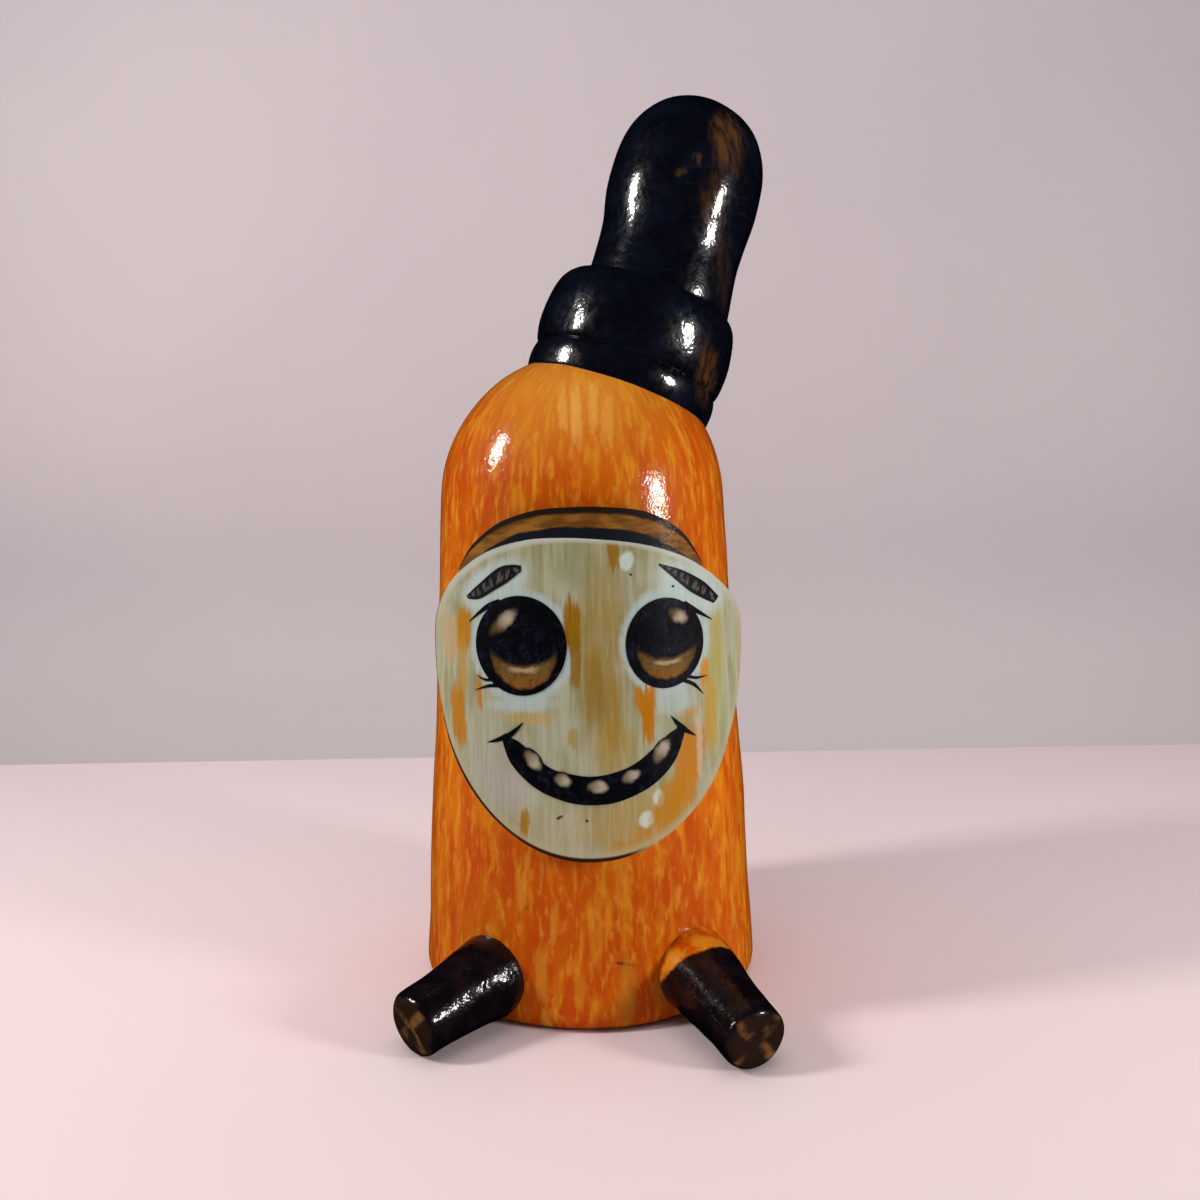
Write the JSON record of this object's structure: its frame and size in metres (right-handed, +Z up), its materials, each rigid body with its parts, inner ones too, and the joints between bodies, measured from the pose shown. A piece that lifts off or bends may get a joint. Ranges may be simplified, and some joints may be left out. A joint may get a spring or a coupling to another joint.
{
  "type": "craft stick puppet",
  "caption": "Free-standing painted clay puppet figure built round a craft stick: plump tapered body, wrapped egg-shaped face plate, tall leaning hat and short log feet.",
  "frame": {"origin": "centre of the flat underside of the body", "axes": "+Z up along the body, -Y the way the face looks, +X the side that the hat leans to"},
  "size_m": [0.0524, 0.0603, 0.1268],
  "materials": {
    "orange_clay": "air-dry clay, brushed orange acrylic, gloss varnish",
    "cream_clay": "air-dry clay, streaked cream acrylic, satin varnish",
    "ochre_clay": "air-dry clay, ochre acrylic with dark edges, gloss varnish",
    "navy_paint": "blue-black acrylic brush paint, satin varnish",
    "black_clay": "air-dry clay, black acrylic, thick gloss varnish",
    "foot_clay": "air-dry clay, black-brown acrylic, thick gloss varnish",
    "birch": "plain sanded birch",
    "foil": "crumpled foil"
  },
  "bodies": {
    "root": {"armature_stick": "birch", "foil_core": "foil", "base_disc": "orange_clay", "body_shell": "orange_clay", "face_plate": "cream_clay", "face_rim": "ochre_clay", "face_paint": "navy_paint", "hat_band": "black_clay", "hat_roll": "black_clay", "hat_crown": "black_clay", "left_foot": "foot_clay", "right_foot": "foot_clay", "left_foot_peg": "birch", "right_foot_peg": "birch"}
  },
  "joints": []
}
